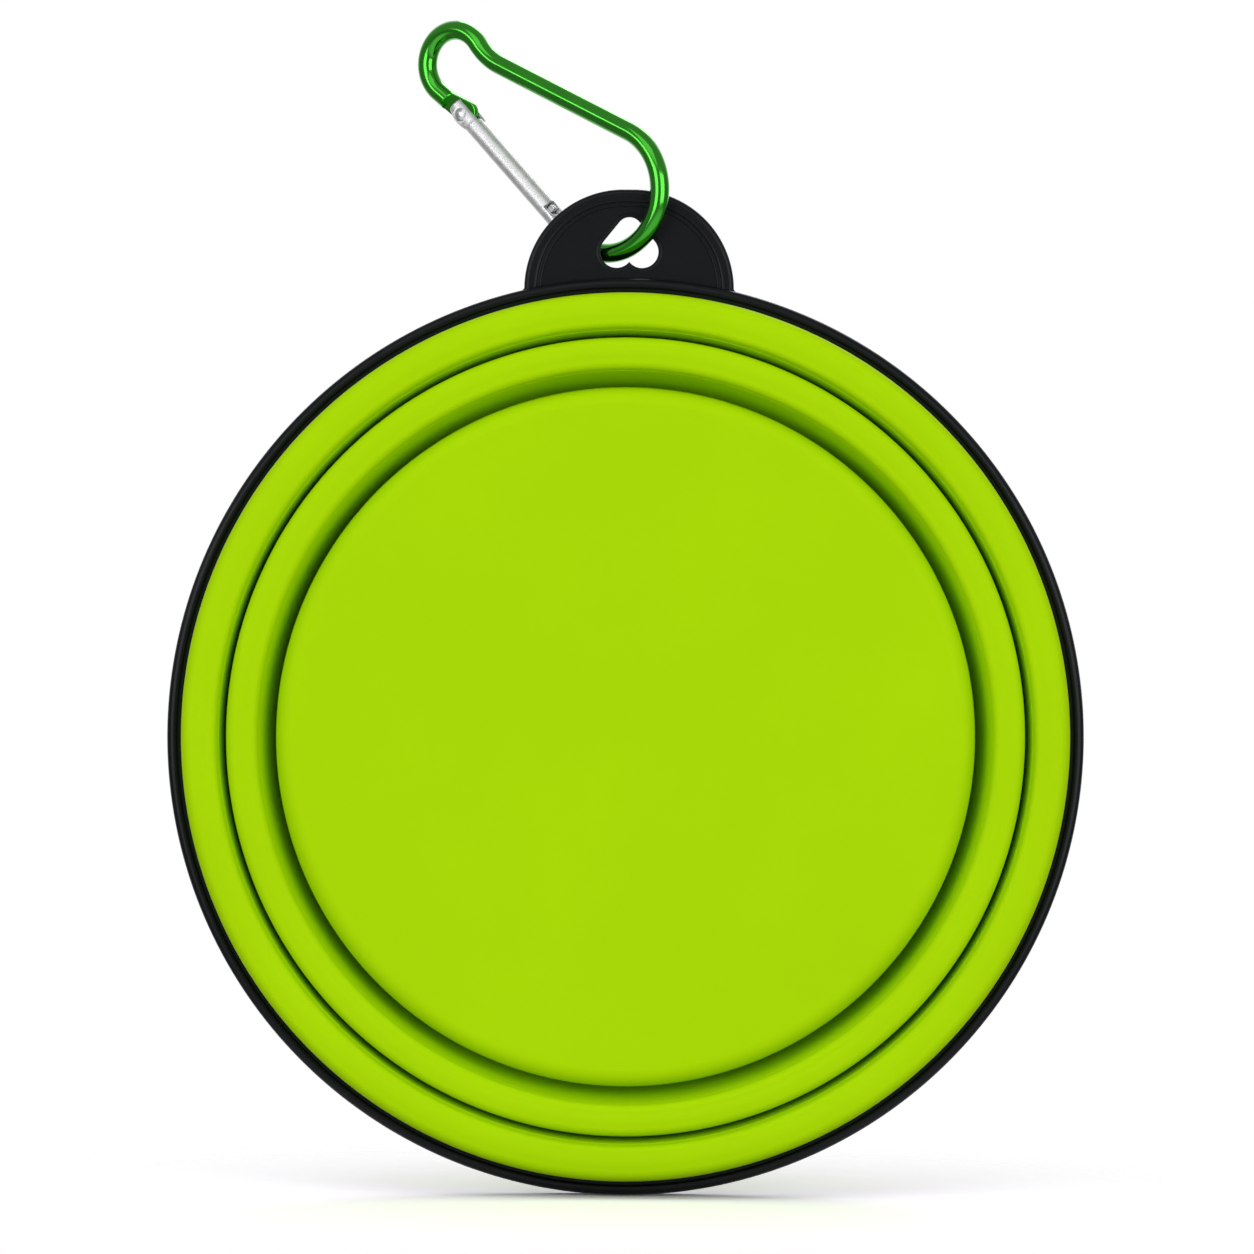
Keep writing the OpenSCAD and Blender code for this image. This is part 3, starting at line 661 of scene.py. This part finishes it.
def tip_stations(front):
    """Stations of a prong beside the nose's hook. The front one is cut away on its inner side, and shows the hook."""
    cut = CUT_AWAY if front else FREE
    turn = np.linspace(0, math.pi / 2, 7)
    tip = [full(LATCH_SLOT - 0.4, HIDDEN_R), full(LATCH_SLOT - 0.03, HIDDEN_R), full(LATCH_SLOT, ROD_R),
           full(LATCH_SLOT + 0.22, ROD_R), full(LATCH_SLOT + 0.3, ROD_R, cut), full(GATE_TIP - 1.6, ROD_R, cut)]
    places, radii = GATE_TIP - TIP_ROUND * (1 - np.sin(turn)), ROD_R - TIP_ROUND * (1 - np.cos(turn))
    return tip + [full(x, r, cut) for x, r in zip(places, radii)]


def fork_shells():
    """The gate's four prongs: two ears beside the clip's tongue and two prongs round the nose's hook."""
    kinds = ear_stations, tip_stations
    return [prong_shell(stations(front), front) for front in (True, False) for stations in kinds]


def new_material(name, colour, roughness, metallic=0.0, specular=0.5):
    """A principled material, its shader with fixed values, its node tree and its coordinates."""
    material = bpy.data.materials.new(name)
    material.use_nodes = True
    tree = material.node_tree
    shader = tree.nodes["Principled BSDF"]
    shader.inputs["Base Color"].default_value = colour
    shader.inputs["Roughness"].default_value = roughness
    shader.inputs["Metallic"].default_value = metallic
    shader.inputs["Specular IOR Level"].default_value = specular
    coordinates = tree.nodes.new("ShaderNodeTexCoord")
    return material, shader, tree, coordinates.outputs["Object"]


def made(tree, kind, output, inputs, **settings):
    """An output of a new node whose inputs are linked from other outputs or hold values."""
    node = tree.nodes.new(kind)
    for name, value in settings.items():
        setattr(node, name, value)
    for name, value in inputs.items():
        if isinstance(value, bpy.types.NodeSocket):
            tree.links.new(value, node.inputs[name])
        else:
            node.inputs[name].default_value = value
    return node.outputs[output]


def noise(tree, vector, scale, detail=2.0):
    """A noise texture on given coordinates."""
    inputs = {"Vector": vector, "Scale": scale, "Detail": detail}
    return made(tree, "ShaderNodeTexNoise", "Fac", inputs)


def mapped(tree, value, low, high, start=0.0, end=1.0, way="SMOOTHSTEP"):
    """A value that goes from start to end while another goes from low to high."""
    inputs = {"Value": value, "From Min": low, "From Max": high, "To Min": start, "To Max": end}
    return made(tree, "ShaderNodeMapRange", "Result", inputs, interpolation_type=way)


def tinted(tree, factor, dark, light):
    """A colour that a factor takes from dark to light."""
    return made(tree, "ShaderNodeMix", "Result", {"Factor": factor, "A": dark, "B": light}, data_type="RGBA")


def bumped(tree, height, strength, distance):
    """A bump from a height."""
    inputs = {"Height": height, "Strength": strength, "Distance": distance}
    return made(tree, "ShaderNodeBump", "Normal", inputs)


def reckoned(tree, operation, first, second):
    """The result of an operation on two values."""
    return made(tree, "ShaderNodeMath", "Value", {0: first, 1: second}, operation=operation)


def mixed(tree, factor, first, second):
    """The shader that a factor takes from the first to the second."""
    return made(tree, "ShaderNodeMixShader", "Shader", {"Fac": factor, 1: first, 2: second})


def shade(colour, factor):
    """A colour made darker or lighter."""
    return tuple(min(c * factor, 1.0) for c in colour[:3]) + (1.0,)


def textured(shader, tree, colour, cloud, grain, relief, shades, rough, bump):
    """Links a shader's colour, roughness and normal to three textures.

    `shades` and `rough` are the ends of the colour's and the roughness's range, `bump` is a strength and a height.
    """
    dark, light = (shade(colour, factor) for factor in shades)
    tree.links.new(tinted(tree, cloud, dark, light), shader.inputs["Base Color"])
    tree.links.new(mapped(tree, grain, *NOISE_RANGE, *rough, "LINEAR"), shader.inputs["Roughness"])
    tree.links.new(bumped(tree, relief, *bump), shader.inputs["Normal"])


def silicone_material(finish):
    """Moulded silicone: matt, faintly cloudy, with the fine skin of a blasted mould."""
    colour = tuple(finish.silicone)
    material, shader, tree, place = new_material("lime_silicone", colour, 0.55, specular=0.03)
    cloud = noise(tree, place, scale=28.0, detail=3.0)
    skin = noise(tree, place, scale=5200.0)
    textured(shader, tree, colour, cloud, skin, skin,
             shades=(0.95, 1.05), rough=(0.50, 0.62), bump=(0.12, 0.00004))
    return material


def rim_material(finish):
    """Satin black moulding with a faint spark-eroded grain."""
    colour = tuple(finish.rim)
    material, shader, tree, place = new_material("satin_black_moulding", colour, 0.32, specular=0.16)
    cloud = noise(tree, place, scale=60.0, detail=4.0)
    grain = noise(tree, place, scale=3600.0, detail=3.0)
    textured(shader, tree, colour, cloud, grain, grain,
             shades=(0.8, 1.25), rough=(0.28, 0.36), bump=(0.10, 0.00004))
    return material


def along_gate(tree, place, stretch):
    """Coordinates along the gate, squeezed along it so that a noise runs as streaks down the rod."""
    ends = on_gate(np.array(((0.0, 0.0, 0.0), (1.0, 0.0, 0.0))))
    turn = Vector(ends[1] - ends[0]).rotation_difference(Vector((1.0, 0.0, 0.0))).to_euler()
    inputs = {"Vector": place, "Rotation": turn, "Scale": (stretch, 1.0, 1.0)}
    return made(tree, "ShaderNodeMapping", "Vector", inputs)


def clip_material(finish):
    """Bright green anodised wire: polished metal under a clear dyed skin, a little cloudy."""
    colour = tuple(finish.clip)
    material, shader, tree, place = new_material("green_anodised_wire", colour, 0.2, metallic=1.0)
    cloud = noise(tree, place, scale=180.0, detail=3.0)
    grain = noise(tree, place, scale=420.0)
    relief = noise(tree, place, scale=260.0, detail=1.0)
    textured(shader, tree, colour, cloud, grain, relief,
             shades=(0.85, 1.15), rough=(0.12, 0.18), bump=(0.05, 0.0002))
    shader.inputs["Coat Weight"].default_value = 0.3
    shader.inputs["Coat Roughness"].default_value = 0.1
    return material


def gate_material(finish):
    """Bright aluminium rod, drawn lengthwise so that soft streaks run along it."""
    colour = tuple(finish.gate)
    material, shader, tree, place = new_material("bright_drawn_rod", colour, 0.36, metallic=1.0)
    streak = noise(tree, along_gate(tree, place, stretch=0.02), scale=900.0)
    textured(shader, tree, colour, streak, streak, streak,
             shades=(0.88, 1.06), rough=(0.40, 0.52), bump=(0.06, 0.0001))
    return material


def steel_material(finish):
    """Polished steel with faint turning marks."""
    colour = tuple(finish.steel)
    material, shader, tree, place = new_material("polished_steel", colour, 0.3, metallic=1.0)
    mark = noise(tree, place, scale=1800.0, detail=4.0)
    textured(shader, tree, colour, mark, mark, mark,
             shades=(0.88, 1.08), rough=(0.26, 0.36), bump=(0.04, 0.00003))
    return material


def finish_of(name, maker):
    """A finish, made once and then shared."""
    return bpy.data.materials.get(name) or maker(bpy.context.scene.bowl_finish)


class PETBOWL_OT_rim(bpy.types.Operator):
    """Turn the rim with its bead, step and flange, and add the tab round the heart-shaped hole"""

    bl_idname = "petbowl.rim"
    bl_label = "Rim and Tab"

    def execute(self, context):
        sizes = context.scene.bowl_sizes
        profile = rounded_path([
            (RIM_R, RIM_Y, sizes.rim_bead), (RIM_R, MOUTH_Y, 1.0), (FLANGE_IN, MOUTH_Y, 0.85),
            (FLANGE_IN, FLANGE_Y, 0.5), (SEAT_R, FLANGE_Y), (SEAT_R, STEP_Y, 0.15), (STEP_R, STEP_Y, 0.2),
            (STEP_R, RIM_Y, 0.35)])
        foot = tab_foot(FOOT_R)
        shells = [shell(revolved(profile, sizes.segments)), tab_shell(sizes.tab_bead)]
        for side in (1, -1):
            shells.append(plate_shell(foot * (side, 1), FOOT_HALF, FOOT_BEVEL, in_tab))
        piece = make_piece("rim_and_tab", shells, finish_of("satin_black_moulding", rim_material))
        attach(piece, "rim")
        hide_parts("rim_ring")
        return {"FINISHED"}


class PETBOWL_OT_tiers(bpy.types.Operator):
    """Turn the three silicone tiers from their profiles"""

    bl_idname = "petbowl.tiers"
    bl_label = "Silicone Tiers"

    def execute(self, context):
        segments = context.scene.bowl_sizes.segments
        upper_root = web_line(WALL, UPPER_IN, MIDDLE_OUT, MIDDLE_TOP, UPPER_CURVE)
        middle_root = web_line(WALL, MIDDLE_IN, BASE_OUT, BASE_TOP, MIDDLE_CURVE)
        profiles = {
            "upper_tier_skin": ("rim", "upper_tier", tier_corners(
                UPPER_OUT, UPPER_IN, UPPER_TREAD, upper_root, FLANGE_Y)),
            "middle_tier_skin": ("middle", "middle_tier", tier_corners(
                MIDDLE_OUT, MIDDLE_IN, MIDDLE_TREAD, middle_root, MIDDLE_TOP)),
            "base_tier_skin": ("base", "base_tier", [
                (0.0, 0.0), (BASE_OUT, 0.0, BASE_EDGE), (BASE_OUT, BASE_TOP), (BASE_OUT - WALL, BASE_TOP),
                (BASE_OUT - WALL, BASE_T, INNER_FILLET), (0.0, BASE_T)]),
        }
        silicone = finish_of("lime_silicone", silicone_material)
        for name, (body, node, corners) in profiles.items():
            on_axis = corners[0][0] == 0
            profile = rounded_path(corners, reach=2.0, closed=not on_axis)
            piece = make_piece(name, [shell(revolved(profile, segments), close_cols=not on_axis)], silicone)
            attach(piece, body)
            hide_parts(node)
        return {"FINISHED"}


class PETBOWL_OT_webs(bpy.types.Operator):
    """Turn the two folding webs that join the tiers"""

    bl_idname = "petbowl.webs"
    bl_label = "Folding Webs"

    def execute(self, context):
        sizes = context.scene.bowl_sizes
        silicone = finish_of("lime_silicone", silicone_material)
        webs = (("upper_web", "rim", "middle", "upper_fold", UPPER_IN, MIDDLE_OUT, MIDDLE_TOP, UPPER_CURVE),
                ("lower_web", "middle", "base", "lower_fold", MIDDLE_IN, BASE_OUT, BASE_TOP, MIDDLE_CURVE))
        for name, outer, inner, node, tread_r, next_r, top, curve in webs:
            y = np.linspace(WALL, top, 15)
            groove = np.column_stack((web_line(y, tread_r, next_r, top, curve), y))
            root, head = groove[0, 0], groove[-1, 0]
            inside = groove + (WEB, 0)
            inner_r, low, high = next_r - WALL, WALL - WEB_BITE, top - WEB_BITE
            profile = rounded_path([
                (root + WEB_INSET, low), (root + WEB, low), *inside, (head + WEB, top + WEB, sizes.web_head),
                (inner_r, top + WEB, WEB_EDGE), (inner_r, top), (inner_r + WEB_INSET, high),
                (next_r - WEB_INSET, high), (next_r - WEB_INSET, top), *groove[::-1]], reach=0.35)
            piece = make_piece(name, [shell(revolved(profile, sizes.segments))], silicone)
            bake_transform(piece)
            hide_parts(node)
        return {"FINISHED"}


class PETBOWL_OT_clip(bpy.types.Operator):
    """Sweep the clip's wire and add its flattened tongue and its bare hooked nose"""

    bl_idname = "petbowl.clip"
    bl_label = "Clip Wire"

    def execute(self, context):
        gate = math.radians(GATE_SLOPE)
        root = PIVOT - TONGUE_LEN * to_pivot()
        eye = PIVOT + CAM_THROW * np.array((math.sin(gate), math.cos(gate)))
        tongue = hull_outline(eye, EYE_R, root, TONGUE_ROOT)
        clip = make_piece("clip_wire", [wire_shell(), plate_shell(tongue, TONGUE_T / 2, TONGUE_BEVEL, in_clip)],
                          finish_of("green_anodised_wire", clip_material))
        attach(clip, "clip")
        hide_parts("clip_frame")
        near, far = -LATCH_AHEAD + LATCH_R, -LATCH_AHEAD - LATCH_R
        hook = rounded_path([
            (0.5, -HOOK_HALF), (0.5, HOOK_HALF), (near, HOOK_HALF, 0.2), (near, -LATCH_R, 0.68),
            (far, -LATCH_R, 0.68), (far, HOOK_HALF, 0.2), (-HOOK_LEN, HOOK_HALF, 0.35), (-HOOK_LEN, -HOOK_HALF, 0.7)],
            guard=0.2)
        hook += (NOSE_X, PIVOT_OUT)
        nose = make_piece("nose_hook", [plate_shell(hook, TONGUE_T / 2, HOOK_BEVEL, on_gate)],
                          finish_of("polished_steel", steel_material))
        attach(nose, "clip")
        return {"FINISHED"}


class PETBOWL_OT_gate(bpy.types.Operator):
    """Turn the gate's rod, add its four prongs and its spring and give the small steel pieces their finish"""

    bl_idname = "petbowl.gate"
    bl_label = "Gate"

    def execute(self, context):
        rod = make_piece("gate_rod", [rod_shell()] + fork_shells(), finish_of("bright_drawn_rod", gate_material))
        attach(rod, "gate_body")
        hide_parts("gate")
        spring = make_piece("spring_coil", [spring_shell()], finish_of("polished_steel", steel_material))
        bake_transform(spring)
        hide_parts("gate_spring")
        for node in ("pivot_rivet", "latch_pin", "gate_plunger"):
            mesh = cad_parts[node].data
            mesh.materials.clear()
            mesh.materials.append(finish_of("polished_steel", steel_material))
        return {"FINISHED"}


class PETBOWL_OT_stage(bpy.types.Operator):
    """Set the floor, the world, the lights and the camera"""

    bl_idname = "petbowl.stage"
    bl_label = "Stage"

    def execute(self, context):
        settings = context.scene.bowl_stage
        make_floor()
        make_world(settings)
        for name, (place, size) in LIGHTS.items():
            make_light(name + "_light", place, size, getattr(settings, name))
        make_camera(settings)
        context.scene.view_settings.view_transform = "Standard"
        return {"FINISHED"}


def make_floor():
    """A round white sweep at the rim's foot: a plane that rises a little to the back and fades out with its radius.

    The camera and reflections see it brighter than it is for the light that it sheds on the bowl.
    """
    a = around(96)
    x, y = np.outer(np.cos(a), FLOOR_RINGS), np.outer(np.sin(a), FLOOR_RINGS)
    rise = math.tan(math.radians(FLOOR_TILT))
    grid = np.stack((x, y, rise * (y - FOOT_Y * MM) - RIM_R * MM), -1) / MM
    material, shader, tree, place = new_material("white_floor", FLOOR_SHED, 0.8, specular=0.0)
    flat = made(tree, "ShaderNodeVectorMath", "Vector", {0: place, 1: (1.0, 1.0, 0.0)}, operation="MULTIPLY")
    radius = made(tree, "ShaderNodeVectorMath", "Value", {0: flat}, operation="LENGTH")
    fade = mapped(tree, radius, *FLOOR_FADE)
    rays = tree.nodes.new("ShaderNodeLightPath").outputs
    shown = reckoned(tree, "MAXIMUM", rays["Is Camera Ray"], rays["Is Glossy Ray"])
    tree.links.new(tinted(tree, shown, FLOOR_SHED, FLOOR_SHOWN), shader.inputs["Base Color"])
    shader.inputs["Emission Color"].default_value = WHITE
    tree.links.new(reckoned(tree, "MULTIPLY", shown, FLOOR_LIFT), shader.inputs["Emission Strength"])
    clear = tree.nodes.new("ShaderNodeBsdfTransparent")
    surface = mixed(tree, fade, shader.outputs["BSDF"], clear.outputs["BSDF"])
    tree.links.new(surface, tree.nodes["Material Output"].inputs["Surface"])
    floor = make_piece("floor", [shell(grid, close_cols=False)], material)


def make_world(settings):
    """White to the camera, and in reflections from behind the bowl or from below and ahead of it.

    Everywhere else it is a light that is stronger from above.
    """
    world = bpy.data.worlds.new("studio")
    bpy.context.scene.world = world
    world.use_nodes = True
    tree = world.node_tree
    plain, white = tree.nodes["Background"], tree.nodes.new("ShaderNodeBackground")
    for background in (plain, white):
        background.inputs["Color"].default_value = WHITE
    coordinates = tree.nodes.new("ShaderNodeTexCoord")
    split = tree.nodes.new("ShaderNodeSeparateXYZ")
    tree.links.new(coordinates.outputs["Generated"], split.inputs["Vector"])
    depth, height = split.outputs["Y"], split.outputs["Z"]
    level = mapped(tree, height, *LIGHT_Z, LOW_SHARE * settings.ambient, settings.ambient)
    tree.links.new(level, plain.inputs["Strength"])
    behind = mapped(tree, depth, *BEHIND_Y)
    below = mapped(tree, height, *BELOW_Z)
    ahead = mapped(tree, depth, *AHEAD_Y)
    sweep = reckoned(tree, "MAXIMUM", behind, reckoned(tree, "MULTIPLY", below, ahead))
    rays = tree.nodes.new("ShaderNodeLightPath").outputs
    mirrored = reckoned(tree, "MULTIPLY", rays["Is Glossy Ray"], sweep)
    shown = reckoned(tree, "MAXIMUM", rays["Is Camera Ray"], mirrored)
    surface = mixed(tree, shown, plain.outputs["Background"], white.outputs["Background"])
    tree.links.new(surface, tree.nodes["World Output"].inputs["Surface"])


def make_light(name, place, size, power):
    """A softbox of a given width and height, aimed at a point near the bowl's middle."""
    lamp = bpy.data.lights.new(name, "AREA")
    lamp.shape = "RECTANGLE"
    lamp.size, lamp.size_y = size
    lamp.energy = power
    light = bpy.data.objects.new(name, lamp)
    bpy.context.scene.collection.objects.link(light)
    light.location = place
    aim = Vector(LIGHT_AIM) - light.location
    light.rotation_euler = aim.to_track_quat("-Z", "Y").to_euler()
    light.visible_camera = False


def make_camera(settings):
    """A long lens level with the bowl's middle, on the base's side, rolled a little."""
    lens = bpy.data.cameras.new("camera")
    lens.lens = settings.lens
    lens.sensor_width = 36.0
    lens.clip_end = 20.0
    camera = bpy.data.objects.new("camera", lens)
    bpy.context.scene.collection.objects.link(camera)
    roll = settings.roll
    right = Vector((math.cos(roll), 0.0, math.sin(roll)))
    up = Vector((-math.sin(roll), 0.0, math.cos(roll)))
    back = Vector((0.0, -1.0, 0.0))
    place = Matrix.Identity(4)
    for k, axis in enumerate((right, up, back)):
        place.col[k].xyz = axis
    place.col[3].xyz = Vector(CAMERA_AIM) + back * settings.distance
    camera.matrix_world = place
    bpy.context.scene.camera = camera


class PETBOWL_PT_panel(bpy.types.Panel):
    """Lists the bowl's pieces, sizes and finishes"""

    bl_idname = "PETBOWL_PT_panel"
    bl_label = "Collapsible Pet Bowl"
    bl_space_type = "VIEW_3D"
    bl_region_type = "UI"
    bl_category = "Pet Bowl"

    def draw(self, context):
        scene = context.scene
        for group in (scene.bowl_sizes, scene.bowl_finish, scene.bowl_stage):
            box = self.layout.box()
            for name in group.__annotations__:
                box.prop(group, name)
        for operator in STEPS:
            self.layout.operator(operator.bl_idname)


STEPS = (PETBOWL_OT_rim, PETBOWL_OT_tiers, PETBOWL_OT_webs, PETBOWL_OT_clip, PETBOWL_OT_gate, PETBOWL_OT_stage)
GROUPS = (BowlSizes, BowlFinish, BowlStage)


def register():
    for cls in GROUPS + STEPS + (PETBOWL_PT_panel,):
        bpy.utils.register_class(cls)
    bpy.types.Scene.bowl_sizes = bpy.props.PointerProperty(type=BowlSizes)
    bpy.types.Scene.bowl_finish = bpy.props.PointerProperty(type=BowlFinish)
    bpy.types.Scene.bowl_stage = bpy.props.PointerProperty(type=BowlStage)


def unregister():
    del bpy.types.Scene.bowl_stage
    del bpy.types.Scene.bowl_finish
    del bpy.types.Scene.bowl_sizes
    for cls in reversed(GROUPS + STEPS + (PETBOWL_PT_panel,)):
        bpy.utils.unregister_class(cls)


def main():
    register()
    bpy.ops.petbowl.rim()
    bpy.ops.petbowl.tiers()
    bpy.ops.petbowl.webs()
    bpy.ops.petbowl.clip()
    bpy.ops.petbowl.gate()
    bpy.ops.petbowl.stage()


if __name__ == "__main__":
    main()
